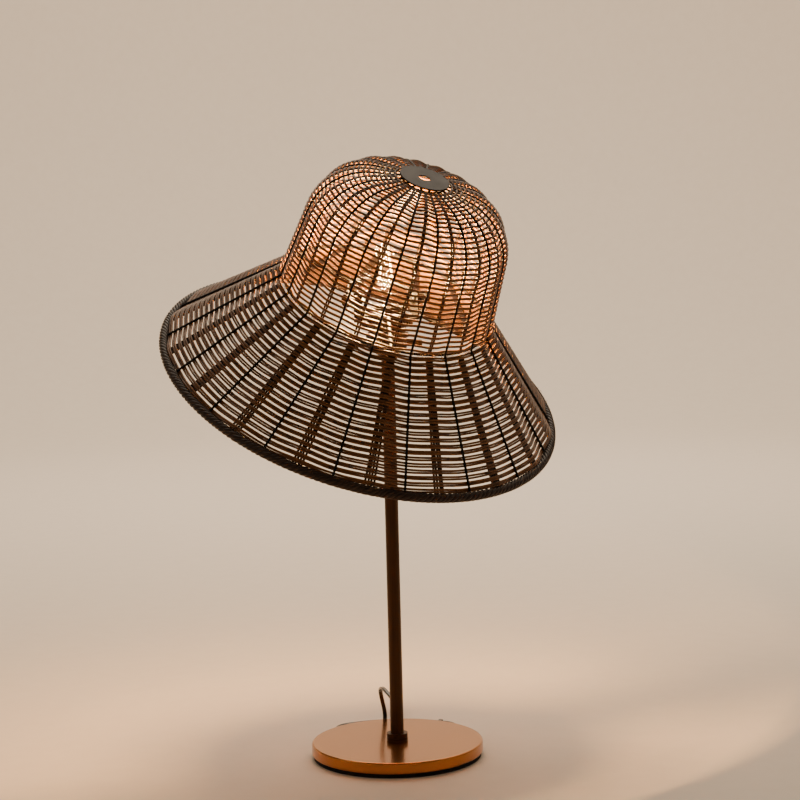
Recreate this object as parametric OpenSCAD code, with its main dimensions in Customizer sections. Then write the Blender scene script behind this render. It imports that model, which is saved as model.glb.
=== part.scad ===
// Table lamp: a woven rattan hat on a gimbal, which tilts and swivels on a slim pole with a disc base.

/* [Base] */
// Diameter of the base disc
base_d = 180; // [140:1:260]
// Thickness of the base disc
base_t = 12; // [11:0.5:25]
// Thickness of the foam pad under the disc
pad_t = 4; // [2:0.5:6]
// Radius of the disc's rounded edges
base_edge = 2; // [1:0.5:4]

/* [Pole] */
// Outer diameter of the pole
pole_d = 14; // [13.5:0.5:30]
// Wall of the pole
pole_wall = 1; // [0.8:0.1:1.5]
// Length of the pole
pole_len = 400; // [330:1:700]
// Diameter of the trim collar on the base
collar_d = 22; // [20:0.5:40]
// Height of the trim collar
collar_h = 8; // [6:0.5:20]
// Height of the cord's hole above the base top
cord_hole_z = 29; // [20:1:60]

/* [Lampholder] */
// Outer diameter of the holder's threaded part
holder_d = 40; // [38:0.5:44]
// Outer diameter of the clamping rings
clamp_ring_d = 54; // [50:0.5:56]
// Height of each clamping ring
clamp_ring_h = 6; // [4:0.5:8]
// Travel of the push-through switch bar each way
switch_travel = 3; // [2:0.5:4]

/* [Shade] */
// Radius at which the brim's wall would end, at the rim
rim_r = 215; // [180:0.5:320]
// Depth of the brim below the neck, along the hat's axis
brim_h = 104; // [70:1:160]
// Radius of the neck, where crown and brim meet
neck_r = 111.5; // [100:0.5:150]
// Height of the crown above the neck, along the hat's axis
crown_h = 136.5; // [115:0.5:180]
// Radius of the rounded shoulder of the crown
crown_shoulder = 62; // [45:1:66]
// Radius of the plate on top of the crown
plate_r = 25.5; // [20:0.5:40]
// Radius of the hole in the plate
plate_hole_r = 6; // [4:0.5:12]
// Thickness of the plate
plate_t = 1.5; // [1:0.1:3]
// Number of wire ribs
rib_count = 18; // [12:1:24]
// Diameter of the wire ribs
rib_d = 2.5; // [2:0.1:4]
// Thickness of the woven wall
weave_t = 2.5; // [2:0.1:5]
// Diameter of the neck and rim hoops' wire
hoop_d = 3; // [2.5:0.5:6]
// Diameter of the rattan border round the rim
border_d = 10; // [8:0.5:14]

/* [Gimbal] */
// Tilt of the hat away from upright
tilt = 30; // [-35:1:35]
// Direction in which the hat tilts, counted from +X
tilt_azimuth = -54; // [-180:1:180]
// Radius of the spider's hub ring
hub_r = 42; // [41:0.5:60]
// Thickness of the gimbal ring's sheet
gimbal_t = 1.5; // [1:0.1:2.5]
// Radius of the pivot screws' shanks
pivot_r = 2; // [1.5:0.1:2.5]
// Radial clearance of the pivots
pivot_clear = 0.05; // [0.02:0.01:0.1]

/* [Bulb] */
// Diameter of the bulb's globe
bulb_d = 60; // [45:1:60]
// Length of the bulb
bulb_len = 105; // [100:1:110]

/* [Cord] */
// Width of the flat twin flex
cord_w = 4.8; // [4.6:0.1:5]
// Thickness of the flat twin flex
cord_t = 2.8; // [2.6:0.1:3]

/* [Hidden] */
$fn = 64;

// stand
base_r = base_d / 2;
base_z = pad_t;
top_z = pad_t + base_t;
pole_r = pole_d / 2;
pole_in_r = pole_r - pole_wall;
pole_top = top_z + pole_len;
stud_r = 5;
stud_bore_r = 3.5;
stud_gap = 0.25;
pad_inset = 2;
counterbore_r = 18;
counterbore_h = 6;
washer_r = 12;
washer_t = 1.5;
nut_af = 14;
nut_h = 4;
insert_h = 14;
insert_flange = 2;
cord_z = top_z + cord_hole_z;
grommet_r = 4.2;
grommet_flange_r = 5.5;
grommet_flange_t = 1.6;
cord_gap = 0.2;

// lampholder, from the pole's top insert up
holder_z = pole_top + insert_flange;
holder_boss_r = 10;
holder_boss_h = 6;
holder_dome_h = 6;
cap_h = 22;
shell_z = holder_z + cap_h;
holder_r = holder_d / 2;
shoulder_r = holder_r + 2;
shoulder_h = 5;
shell_h = 32;
holder_wall = 2;
mouth_r = 15.2;
thread_z = shell_z + 11;
gimbal_z = thread_z + clamp_ring_h;
clamp_r = clamp_ring_d / 2;
switch_z = holder_z + 15;
switch_r = 2.5;
switch_len = 60;
button_r = 4;
button_h = 6;
slide_gap = 0.1;
insert_foot = holder_z + 12;
insert_r = holder_r - holder_wall - 0.5;
insert_top = shell_z + 6;
well_top = holder_z + 18;
well_r = 5;
contact_h = 2;
terminal_y = 11;
terminal_h = 2.8;
core_r = 1;
core_z = well_top - terminal_h - 0.9;
bulb_z = insert_top + contact_h;
screw_shell_r = 14.4;
screw_shell_t = 0.5;

// gimbal
neck_z = gimbal_z + 23;
swivel_gap = 0.3;
gimbal_in_r = holder_r + swivel_gap;
gimbal_out_r = holder_r + 11;
ear_y = hub_r - 7;
ear_w = 14;
washer_t_pivot = 0.5;
boss_y = ear_y + gimbal_t + washer_t_pivot;
boss_r = 5;
boss_len = hub_r + hoop_d / 2 + 2 - boss_y;
knob_r = 7;
knob_h = 6;
pivot_nut_af = 7;
pivot_nut_h = 3;

// hat, in its own frame: the neck's centre at the origin and the hat's axis along +Z
side_lean = 6;
top_lean = 9;
rib_off = rib_d / 2;
weave_off = rib_off + 0.15;
weave_in = weave_off + weave_t;
hoop_in = neck_r - rib_off - hoop_d / 2;
brim_angle = atan2(rim_r - neck_r, brim_h);
brim_len = norm([rim_r - neck_r, brim_h]);
join_gap = hoop_d / 2 + 1.5;
border_r = border_d / 2;
border_c = brim_at(brim_len - border_r, 0);
crown_hoop_d = 3;
crown_hoop_r = plate_r - 3.5;
stake_d = 3;
brim_stake_d = 2.6;
brim_stake_gap = 3;
brim_stake_spread = 7;
spoke_r = 2;
bend_bead = 0.06;

// cord behind the base: a hank bent round the disc, lying on the floor, with its flat sides upright
hank_gap = 0.5;
hank_turns = 5;
hank_pitch = cord_t;
hank_fold_r = 3 * cord_t;
hank_half = 48;
hank_half_w = hank_fold_r + (hank_turns - 1) * hank_pitch + cord_t / 2;
hank_mid_r = base_r + hank_gap + hank_half_w;
plug_y = hank_mid_r + hank_half_w + 32.9;
plug_w = 22;
plug_t = 12;
plug_len = 28;
relief_len = 20;
relief_r = 3.8;
pin_len = 17;
pin_w = 6.3;
pin_t = 1.5;
pin_pitch = 12.7;
// from the grommet's mouth, up and over to the left, down behind the disc and into the hank
cord_points = concat(
    [for (p = [[0, 0, 0], [0, 5, 0.2], [0, 10, 1.2], [-2, 17, 4], [-5.5, 26, 8.5], [-10, 35, 12], [-13.5, 45, 13.5]])
        [p[0], pole_r + p[1], cord_z + p[2]]],
    [for (p = [
        [-16, -28, 57], [-17, -19, 52], [-16.5, -11, 44.5], [-15.2, -4, 35.5], [-13.8, 2, 27], [-13, 8, 18],
        [-13.6, 14, 10.5], [-17, 18.7, 5.5], [-22.5, 20, 3], [-28, 17, 2.5], [-32.6, 12, 2.5],
        [-36.6, 7.4, 2.5], [-40.5, 4.8, 2.5],
    ])
        [p[0], base_r + p[1], p[2]]]
);
// from the hank's outer turn to the plug's strain relief
tail_points = [
    for (p = [[-6, -14.4, 2.5], [-2.5, -12.4, 3.7], [-0.5, -9, 6], [0, -4.5, 9], [0, 0, 11]])
        [p[0], plug_y - relief_len + p[1], p[2]]
];
// inside the pole, from the grommet up to the lampholder
inner_points = concat(
    [for (p = [[0, 7, 0], [0, 4, 0.3], [0, 1.6, 1.6], [0, 0.4, 4], [0, 0, 8]])
        [p[0], p[1] * pole_r / 7, cord_z + p[2]]],
    [[0, 0, holder_z + holder_boss_h]]
);

function unit(v) = v / norm(v);

// The crown's side leans in and its top slopes, and the shoulder's arc is tangent to both.
function corner_z() = (crown_h - tan(top_lean) * (neck_r - plate_r)) / (1 - tan(top_lean) * tan(side_lean));
function corner() = [neck_r - tan(side_lean) * corner_z(), corner_z()];
function tangent_len() = crown_shoulder * tan((90 - side_lean - top_lean) / 2);
function side_end() = corner() - tangent_len() * [-sin(side_lean), cos(side_lean)];
function shoulder_centre() = side_end() - crown_shoulder * [cos(side_lean), sin(side_lean)];
function shoulder_at(a, off) = shoulder_centre() + (crown_shoulder - off) * [cos(a), sin(a)];
function top_at(r, off) = [r, crown_h - tan(top_lean) * (r - plate_r) - off / cos(top_lean)];
function side_at(z, off) = [neck_r - tan(side_lean) * z - off / cos(side_lean), z];
function crown_line(off, z0, r1) = concat(
    [side_at(z0, off)],
    [for (i = [0:8]) shoulder_at(side_lean + i * (90 - side_lean - top_lean) / 8, off)],
    [top_at(r1, off)]
);
function brim_at(s, off) = [
    neck_r + sin(brim_angle) * s - cos(brim_angle) * off,
    -cos(brim_angle) * s - sin(brim_angle) * off
];
function reversed(v) = [for (i = [len(v) - 1:-1:0]) v[i]];

module tube(r, r_in, h) {
    difference() {
        cylinder(h = h, r = r);
        translate([0, 0, -1]) cylinder(h = h + 2, r = r_in);
    }
}

module torus(r, wire_r) {
    rotate_extrude() translate([r, 0]) circle(r = wire_r);
}

// A straight round bar between two points of the hat's radial plane
module bar(a, b, r) {
    lean = atan2(b[0] - a[0], b[1] - a[1]);
    translate([a[0], 0, a[1]]) rotate([0, lean, 0]) cylinder(h = norm(b - a), r = r);
}

// The shoulder's arc in the hat's radial plane
module shoulder_arc(off, r) {
    c = shoulder_centre();
    translate([c[0], 0, c[1]])
        rotate([90, 0, 0])
            rotate([0, 0, side_lean])
                rotate_extrude(angle = 90 - side_lean - top_lean)
                    translate([crown_shoulder - off, 0]) circle(r = r);
}

// A bent bar along the crown's side, shoulder and top, with a slight bead where the bend starts and ends
module crown_bar(off, z0, r1, r) {
    bar(side_at(z0, off), shoulder_at(side_lean, off), r);
    shoulder_arc(off, r);
    bar(shoulder_at(90 - top_lean, off), top_at(r1, off), r);
    for (a = [side_lean, 90 - top_lean])
        let (p = shoulder_at(a, off))
            translate([p[0], 0, p[1]]) sphere(r = r + bend_bead);
}

module in_hat() {
    translate([0, 0, neck_z]) rotate([0, 0, tilt_azimuth]) rotate([0, tilt, 0]) children();
}

module on_gimbal() {
    translate([0, 0, neck_z]) rotate([0, 0, tilt_azimuth]) children();
}

module both_ends() {
    children();
    rotate([0, 0, 180]) children();
}

// Ring i of a swept tube: an oval, wide across the route and thin up and down, or the other way round
function along(p, i) = unit(p[min(i + 1, len(p) - 1)] - p[max(i - 1, 0)]);
function sweep_ring(p, i, wide, thin, n) =
    let (t = along(p, i), side = unit(cross(t, abs(t[2]) > 0.9 ? [0, 1, 0] : [0, 0, 1])), up = cross(side, t))
    [for (k = [0:n - 1]) p[i] + side * wide * cos(360 * k / n) + up * thin * sin(360 * k / n)];

module swept(p, wide, thin, n = 8) {
    rings = [for (i = [0:len(p) - 1]) each sweep_ring(p, i, wide, thin, n)];
    last = (len(p) - 1) * n;
    sides = [for (i = [0:len(p) - 2], k = [0:n - 1])
        let (a = i * n + k, b = i * n + (k + 1) % n)
            each [[a, b, b + n], [a, b + n, a + n]]];
    polyhedron(
        points = rings,
        faces = concat(sides, [[for (k = [n - 1:-1:0]) k]], [[for (k = [0:n - 1]) last + k]])
    );
}

// ---- stand ----

module base_disc() {
    e = base_edge;
    r = base_d / 2;
    color("#8a5a22")
        translate([0, 0, base_z])
            difference() {
                rotate_extrude()
                    difference() {
                        union() {
                            square([r - e, base_t]);
                            translate([0, e]) square([r, base_t - 2 * e]);
                            translate([r - e, e]) circle(r = e);
                            translate([r - e, base_t - e]) circle(r = e);
                        }
                        translate([-2 * r, -1]) square([2 * r, base_t + 2]);
                    }
                translate([0, 0, -1]) cylinder(h = base_t + 2, r = stud_r + stud_gap);
                translate([0, 0, -1]) cylinder(h = counterbore_h + 1, r = counterbore_r);
            }
}

module base_pad() {
    color("#141414") cylinder(h = pad_t, r = base_r - pad_inset);
}

module base_washer() {
    color("#b0b0b0")
        translate([0, 0, base_z + counterbore_h - washer_t])
            tube(washer_r, stud_r + stud_gap, washer_t);
}

module base_nut() {
    color("#b0b0b0")
        translate([0, 0, base_z + counterbore_h - washer_t - nut_h])
            difference() {
                cylinder(h = nut_h, r = nut_af / 2 / cos(30), $fn = 6);
                translate([0, 0, -1]) cylinder(h = nut_h + 2, r = stud_r);
            }
}

module base_stud() {
    color("#c9a24a")
        translate([0, 0, base_z + counterbore_h - washer_t - nut_h - 0.5])
            tube(stud_r, stud_bore_r, base_t - counterbore_h + washer_t + nut_h + insert_h);
}

module pole_foot_insert() {
    color("#9a9a9a") translate([0, 0, top_z + 0.5]) tube(pole_in_r, stud_r, insert_h);
}

module pole_collar() {
    groove_z = collar_h * 0.45;
    groove_h = 1.2;
    groove_depth = 1;
    color("#8a5a22")
        translate([0, 0, top_z])
            difference() {
                union() {
                    cylinder(h = groove_z, r = collar_d / 2);
                    cylinder(h = collar_h, r = collar_d / 2 - groove_depth);
                    translate([0, 0, groove_z + groove_h])
                        cylinder(h = collar_h - groove_z - groove_h, r = collar_d / 2);
                }
                translate([0, 0, -1]) cylinder(h = collar_h + 2, r = pole_r + 0.1);
            }
}

module pole() {
    color("#6b4318")
        difference() {
            translate([0, 0, top_z]) tube(pole_r, pole_in_r, pole_len);
            translate([0, 0, cord_z]) rotate([-90, 0, 0]) cylinder(h = pole_d, r = grommet_r);
        }
}

module cord_grommet() {
    bush_len = pole_wall + 1;
    color("#101010")
        translate([0, pole_r - bush_len, cord_z])
            rotate([-90, 0, 0])
                difference() {
                    union() {
                        cylinder(h = bush_len + 0.4, r = grommet_r);
                        translate([0, 0, bush_len + 0.1]) cylinder(h = grommet_flange_t, r = grommet_flange_r);
                    }
                    translate([0, 0, -1]) cylinder(h = bush_len + 5, r = cord_w / 2 + cord_gap);
                }
}

module pole_top_insert() {
    color("#9a9a9a") {
        difference() {
            union() {
                translate([0, 0, pole_top - insert_h]) cylinder(h = insert_h, r = pole_in_r);
                translate([0, 0, pole_top]) cylinder(h = insert_flange, r = pole_r);
            }
            translate([0, 0, pole_top - insert_h - 1]) cylinder(h = insert_h + insert_flange + 2, r = stud_r);
        }
    }
}

module holder_nipple() {
    thread_len = 9;
    color("#c9a24a")
        translate([0, 0, pole_top - thread_len])
            tube(stud_r, stud_bore_r, thread_len + insert_flange + holder_boss_h);
}

// ---- lampholder ----

module holder_cap() {
    color("#161616")
        translate([0, 0, holder_z])
            difference() {
                rotate_extrude()
                    polygon([
                        [stud_r, 0],
                        [holder_boss_r, 0],
                        [holder_boss_r, holder_boss_h - 2],
                        [holder_r, holder_boss_h + holder_dome_h - 2],
                        [holder_r, cap_h],
                        [holder_r - holder_wall, cap_h],
                        [holder_r - holder_wall, holder_boss_h + holder_dome_h - 1],
                        [holder_boss_r, holder_boss_h],
                        [stud_r, holder_boss_h],
                    ]);
                translate([0, 0, switch_z - holder_z])
                    rotate([0, 90, 0])
                        cylinder(h = 4 * holder_r, r = switch_r + slide_gap, center = true);
            }
}

module holder_shell() {
    color("#161616")
        translate([0, 0, shell_z])
            rotate_extrude()
                polygon([
                    [holder_r - holder_wall, 0],
                    [shoulder_r, 0],
                    [shoulder_r, shoulder_h],
                    [holder_r, shoulder_h],
                    [holder_r, shell_h],
                    [mouth_r, shell_h],
                    [mouth_r, shell_h - 2],
                    [holder_r - holder_wall, shell_h - 2],
                ]);
}

module holder_insert() {
    color("#e8e4d8")
        difference() {
            translate([0, 0, insert_foot]) cylinder(h = insert_top - insert_foot, r = insert_r);
            translate([0, 0, switch_z])
                rotate([0, 90, 0]) cylinder(h = 4 * holder_r, r = switch_r + slide_gap, center = true);
            for (s = [-1, 1])
                translate([0, s * terminal_y, insert_foot - 1]) cylinder(h = well_top - insert_foot + 1, r = well_r);
        }
}

module screw_shell() {
    color("#c9a24a") {
        difference() {
            translate([0, 0, insert_top]) cylinder(h = 22, r = screw_shell_r);
            translate([0, 0, insert_top + 0.5]) cylinder(h = 24, r = screw_shell_r - screw_shell_t);
            translate([0, 0, insert_top - 1]) cylinder(h = 4, r = 6);
        }
    }
}

module centre_contact() {
    color("#c9a24a") translate([0, 0, insert_top]) cylinder(h = contact_h, r = 4);
}

module terminal_screws() {
    color("#b0b0b0")
        for (s = [-1, 1])
            translate([0, s * terminal_y, well_top - terminal_h]) cylinder(h = terminal_h, r = 2.2);
}

module inner_flex() {
    color("#1c120c") swept(inner_points, cord_w / 2, cord_t / 2);
}

// A core of the flex, straight between two points of a plane
module bar_between(a, b) {
    d = b - a;
    translate([a[0], a[1], 0])
        rotate([0, 90, atan2(d[1], d[0])])
            cylinder(h = norm(d), r = core_r);
}

module inner_cores() {
    color("#7a4a20")
        both_ends()
            translate([0, 0, holder_z + holder_boss_h + 1])
                rotate([90, 0, 90])
                    bar_between([1.2, 0], [terminal_y, core_z - holder_z - holder_boss_h - 1]);
}

module switch_bar() {
    color("#202020")
        translate([0, 0, switch_z]) rotate([0, 90, 0]) cylinder(h = switch_len, r = switch_r, center = true);
}

module switch_buttons() {
    color("#101010")
        for (s = [0, 180])
            rotate([0, 0, s])
                translate([switch_len / 2, 0, switch_z])
                    rotate([0, 90, 0]) cylinder(h = button_h, r = button_r);
}

module shade_ring_lower() {
    color("#161616") translate([0, 0, thread_z]) tube(clamp_r, holder_r, clamp_ring_h);
}

module shade_ring_upper() {
    color("#161616") translate([0, 0, gimbal_z + gimbal_t]) tube(clamp_r, holder_r, clamp_ring_h);
}

// ---- gimbal ----

module gimbal_ring() {
    ear_h = neck_z - gimbal_z + 7;
    color("#202020")
        translate([0, 0, gimbal_z - neck_z])
            on_gimbal()
                difference() {
                    union() {
                        cylinder(h = gimbal_t, r = gimbal_out_r);
                        both_ends() {
                            translate([-ear_w / 2, 0, 0]) cube([ear_w, ear_y + gimbal_t, gimbal_t]);
                            translate([-ear_w / 2, ear_y, 0]) cube([ear_w, gimbal_t, ear_h]);
                        }
                    }
                    translate([0, 0, -1]) cylinder(h = gimbal_t + 2, r = gimbal_in_r);
                    translate([0, 0, neck_z - gimbal_z])
                        rotate([90, 0, 0])
                            cylinder(h = 4 * hub_r, r = pivot_r, center = true);
                }
}

module pivot_screws() {
    head_y = boss_y + boss_len + washer_t_pivot;
    color("#303030")
        on_gimbal()
            both_ends()
                rotate([-90, 0, 0]) {
                    translate([0, 0, ear_y - pivot_nut_h - 0.5])
                        cylinder(h = head_y - ear_y + pivot_nut_h + 1, r = pivot_r);
                    translate([0, 0, head_y]) cylinder(h = knob_h, r = knob_r);
                }
}

module pivot_washers() {
    color("#b8a080")
        on_gimbal()
            both_ends()
                rotate([-90, 0, 0])
                    for (y = [ear_y + gimbal_t, boss_y + boss_len])
                        translate([0, 0, y]) tube(boss_r - 0.4, pivot_r, washer_t_pivot);
}

module pivot_nuts() {
    color("#b0b0b0")
        on_gimbal()
            both_ends()
                rotate([-90, 0, 0])
                    translate([0, 0, ear_y - pivot_nut_h])
                        difference() {
                            cylinder(h = pivot_nut_h, r = pivot_nut_af / 2 / cos(30), $fn = 6);
                            translate([0, 0, -1]) cylinder(h = pivot_nut_h + 2, r = pivot_r);
                        }
}

// ---- hat shade ----

module spider_hub() {
    color("#202020")
        in_hat()
            difference() {
                union() {
                    torus(hub_r, hoop_d / 2);
                    both_ends()
                        rotate([-90, 0, 0])
                            translate([0, 0, boss_y]) cylinder(h = boss_len, r = boss_r);
                }
                rotate([90, 0, 0]) cylinder(h = 4 * hub_r, r = pivot_r + pivot_clear, center = true);
            }
}

// Four spokes, set between the ribs and clear of the pivot knobs
module spider_spokes() {
    color("#202020")
        in_hat()
            for (a = [30, 150, 210, 330])
                rotate([0, 0, a])
                    rotate([0, 90, 0])
                        translate([0, 0, hub_r + hoop_d / 2 - 0.1])
                            cylinder(h = hoop_in - hub_r - hoop_d + 0.2, r = spoke_r);
}

module neck_hoop() {
    color("#151515") in_hat() torus(hoop_in, hoop_d / 2);
}

module rim_hoop() {
    color("#151515") in_hat() translate([0, 0, border_c[1]]) torus(border_c[0], hoop_d / 2);
}

module crown_hoop() {
    z = top_at(crown_hoop_r, rib_off + crown_hoop_d / 2 / cos(top_lean))[1];
    color("#151515") in_hat() translate([0, 0, z]) torus(crown_hoop_r, crown_hoop_d / 2);
}

module crown_plate() {
    color("#0d0d0d")
        in_hat()
            translate([0, 0, top_at(crown_hoop_r - 2, -rib_off)[1]])
                tube(plate_r, plate_hole_r, plate_t);
}

module shade_ribs() {
    color("#0a0a0a")
        in_hat()
            for (i = [0:rib_count - 1])
                rotate([0, 0, i * 360 / rib_count]) {
                    bar(brim_at(0, 0), brim_at(brim_len - border_d, 0), rib_d / 2);
                    translate([neck_r, 0, 0]) sphere(r = rib_d / 2 + bend_bead);
                    crown_bar(0, 0, crown_hoop_r - 2, rib_d / 2);
                }
}

module crown_stakes() {
    color("#4a2c14")
        in_hat()
            for (i = [0:rib_count - 1])
                rotate([0, 0, (i + 0.5) * 360 / rib_count])
                    crown_bar(weave_off - stake_d / 2 - 0.2, 6, plate_r + 4, stake_d / 2);
}

module brim_stakes() {
    half_step = 180 / rib_count;
    off = weave_off - brim_stake_d / 2 - 0.3;
    color("#4a2c14")
        in_hat()
            for (i = [0:rib_count - 1], k = [-1, 0, 1])
                let (
                    a = brim_at(6, off),
                    b = brim_at(brim_len - border_d - 0.5, off),
                    mid = i * 2 * half_step + half_step,
                    near = [a[0] * cos(mid), a[0] * sin(mid), a[1]] + brim_stake_gap * k * [-sin(mid), cos(mid), 0],
                    far = [b[0] * cos(mid), b[0] * sin(mid), b[1]] + brim_stake_spread * k * [-sin(mid), cos(mid), 0],
                    d = far - near
                )
                translate(near)
                    rotate([0, acos(d[2] / norm(d)), atan2(d[1], d[0])])
                        cylinder(h = norm(d), r = brim_stake_d / 2);
}

module crown_weave() {
    color("#7a4d28")
        in_hat()
            rotate_extrude()
                polygon(concat(
                    crown_line(weave_off, join_gap, plate_r + 1),
                    reversed(crown_line(weave_in, join_gap, plate_r + 1))
                ));
}

module brim_weave() {
    s0 = join_gap;
    s1 = brim_len - border_d - 1;
    color("#7a4d28")
        in_hat()
            rotate_extrude()
                polygon([
                    brim_at(s0, weave_off),
                    brim_at(s1, weave_off),
                    brim_at(s1, weave_in),
                    brim_at(s0 + weave_t, weave_in),
                ]);
}

module rim_border() {
    color("#5c3a1e")
        in_hat()
            rotate_extrude()
                translate(border_c)
                    difference() {
                        circle(r = border_r);
                        circle(r = hoop_d / 2);
                    }
}

// ---- bulb ----

bulb_r = bulb_d / 2;
bulb_cap_r = 13.2;
bulb_cap_h = 24;
bulb_neck_r = 14.5;
globe_z = bulb_z + bulb_len - bulb_r;

module bulb_contact() {
    color("#c0c0c0") translate([0, 0, bulb_z]) cylinder(h = 2, r = 4);
}

module bulb_cap() {
    color("#c8c8c0")
        difference() {
            translate([0, 0, bulb_z + 2]) cylinder(h = bulb_cap_h, r = bulb_cap_r);
            translate([0, 0, bulb_z + 4]) cylinder(h = bulb_cap_h, r = bulb_cap_r - 0.6);
        }
}

module bulb_glass() {
    neck_z0 = bulb_z + bulb_cap_h + 2;
    wall = 0.8;
    color([1, 0.9, 0.7, 0.4])
        rotate_extrude()
            difference() {
                bulb_outline(neck_z0, 0);
                bulb_outline(neck_z0 - 1, wall);
            }
}

// Half of the bulb's outline: a globe and a neck that is tangent to it
module bulb_outline(z0, wall) {
    r = bulb_r - wall;
    from_globe = [bulb_neck_r - wall, z0 - globe_z];
    touch = atan2(from_globe[1], from_globe[0]) + acos(r / norm(from_globe));
    intersection() {
        union() {
            translate([0, globe_z]) circle(r = r, $fn = 96);
            polygon([
                [0, z0],
                [bulb_neck_r - wall, z0],
                [r * cos(touch), globe_z + r * sin(touch)],
                [0, globe_z],
            ]);
        }
        translate([0, z0]) square([2 * bulb_r, 2 * bulb_len]);
    }
}

module bulb_stem() {
    color([0.9, 0.9, 0.9, 0.5])
        translate([0, 0, bulb_z + bulb_cap_h - 4]) {
            cylinder(h = 24, r1 = 8, r2 = 3.5);
            translate([0, 0, 24]) cylinder(h = 44, r = 1.6);
        }
}

module bulb_filaments() {
    color("#ffd890")
        for (a = [45:90:315])
            rotate([0, 0, a])
                bar([9.5, bulb_z + 51], [4.5, bulb_z + 86], 1);
}

// ---- cord ----

module cord_run() {
    color("#1c120c") swept(cord_points, cord_w / 2, cord_t / 2);
}

// Places its children on the hank's mid arc, a degrees round from the +Y direction
module on_hank_arc(a) {
    rotate([0, 0, 90 + a]) translate([hank_mid_r, 0, 0]) children();
}

module cord_hank() {
    half_angle = hank_half / hank_mid_r * 180 / PI;
    color("#1c120c")
        difference() {
            union() {
                rotate([0, 0, 90 - half_angle])
                    rotate_extrude(angle = 2 * half_angle)
                        translate([hank_mid_r - hank_half_w, 0]) square([2 * hank_half_w, cord_w]);
                for (s = [-1, 1])
                    on_hank_arc(s * half_angle) cylinder(h = cord_w, r = hank_half_w);
            }
            // the hollow between the turns, where the cord comes in
            translate([0, 0, -1])
                rotate([0, 0, 90 - half_angle])
                    rotate_extrude(angle = 2 * half_angle)
                        translate([hank_mid_r - hank_fold_r + cord_t, 0])
                            square([2 * hank_fold_r - 2 * cord_t, cord_w + 2]);
        }
}

module cord_tail() {
    color("#1c120c") swept(tail_points, cord_w / 2, cord_t / 2);
}

module cord_tie() {
    color("#101010")
        on_hank_arc(-22)
            difference() {
                translate([-hank_half_w - 0.4, -2, 0]) cube([2 * hank_half_w + 0.8, 4, cord_w + 0.6]);
                translate([-hank_half_w, -3, -1]) cube([2 * hank_half_w, 6, cord_w + 1]);
            }
}

module plug_relief() {
    color("#151515")
        translate([0, plug_y - relief_len, plug_w / 2])
            rotate([-90, 0, 0]) cylinder(h = relief_len, r1 = relief_r - 0.8, r2 = relief_r + 1);
}

module plug_body() {
    edge = 3;
    color("#151515")
        translate([0, plug_y, plug_w / 2])
            rotate([-90, 0, 0])
                linear_extrude(plug_len) {
                    square([plug_t, plug_w - 2 * edge], center = true);
                    square([plug_t - 2 * edge, plug_w], center = true);
                    for (x = [-1, 1], y = [-1, 1])
                        translate([x * (plug_t / 2 - edge), y * (plug_w / 2 - edge)]) circle(r = edge);
                }
}

module plug_pins() {
    color("#c8b070")
        for (s = [-1, 1])
            translate([-pin_w / 2, plug_y + plug_len, plug_w / 2 + s * pin_pitch / 2 - pin_t / 2])
                cube([pin_w, pin_len, pin_t]);
}

base_disc();
base_pad();
base_washer();
base_nut();
base_stud();
pole_foot_insert();
pole_collar();
pole();
cord_grommet();
pole_top_insert();
holder_nipple();
holder_cap();
holder_shell();
holder_insert();
screw_shell();
centre_contact();
terminal_screws();
inner_flex();
inner_cores();
switch_bar();
switch_buttons();
shade_ring_lower();
shade_ring_upper();
gimbal_ring();
pivot_screws();
pivot_washers();
pivot_nuts();
spider_hub();
spider_spokes();
neck_hoop();
rim_hoop();
crown_hoop();
crown_plate();
shade_ribs();
crown_stakes();
brim_stakes();
crown_weave();
brim_weave();
rim_border();
bulb_cap();
bulb_contact();
bulb_glass();
bulb_stem();
bulb_filaments();
cord_run();
cord_hank();
cord_tail();
cord_tie();
plug_relief();
plug_body();
plug_pins();
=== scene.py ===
# Table lamp: a woven rattan hat on a gimbal, over a slim lacquered pole and a disc base.
import math
import bmesh
import bpy
from mathutils import Matrix, Vector


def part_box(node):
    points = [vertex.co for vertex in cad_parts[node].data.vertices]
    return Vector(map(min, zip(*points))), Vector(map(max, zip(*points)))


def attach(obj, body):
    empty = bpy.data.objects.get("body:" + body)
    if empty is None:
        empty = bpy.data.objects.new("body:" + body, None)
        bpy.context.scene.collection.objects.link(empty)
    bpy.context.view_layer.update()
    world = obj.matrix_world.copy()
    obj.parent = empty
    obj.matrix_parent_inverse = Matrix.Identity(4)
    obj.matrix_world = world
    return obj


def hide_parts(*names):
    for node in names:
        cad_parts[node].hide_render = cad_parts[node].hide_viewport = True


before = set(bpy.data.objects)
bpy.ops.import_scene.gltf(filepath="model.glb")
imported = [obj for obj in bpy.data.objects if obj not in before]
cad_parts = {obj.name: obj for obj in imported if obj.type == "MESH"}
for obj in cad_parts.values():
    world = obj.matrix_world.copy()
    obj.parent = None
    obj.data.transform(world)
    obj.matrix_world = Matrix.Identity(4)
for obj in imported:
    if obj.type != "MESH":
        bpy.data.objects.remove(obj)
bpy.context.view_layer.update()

# ---- Base disc ----
# The base is a disc of cast iron, turned smooth and with softened edges.
# It is sprayed with a bronze metallic lacquer: its flakes spread the highlight, and a faint orange peel stirs it.
MM = 0.001


def linear(hex_code):
    """The linear colour of an sRGB hex value."""
    parts = [int(hex_code[i : i + 2], 16) / 255 for i in (1, 3, 5)]
    return [c / 12.92 if c <= 0.04045 else ((c + 0.055) / 1.055) ** 2.4 for c in parts] + [1]


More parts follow.
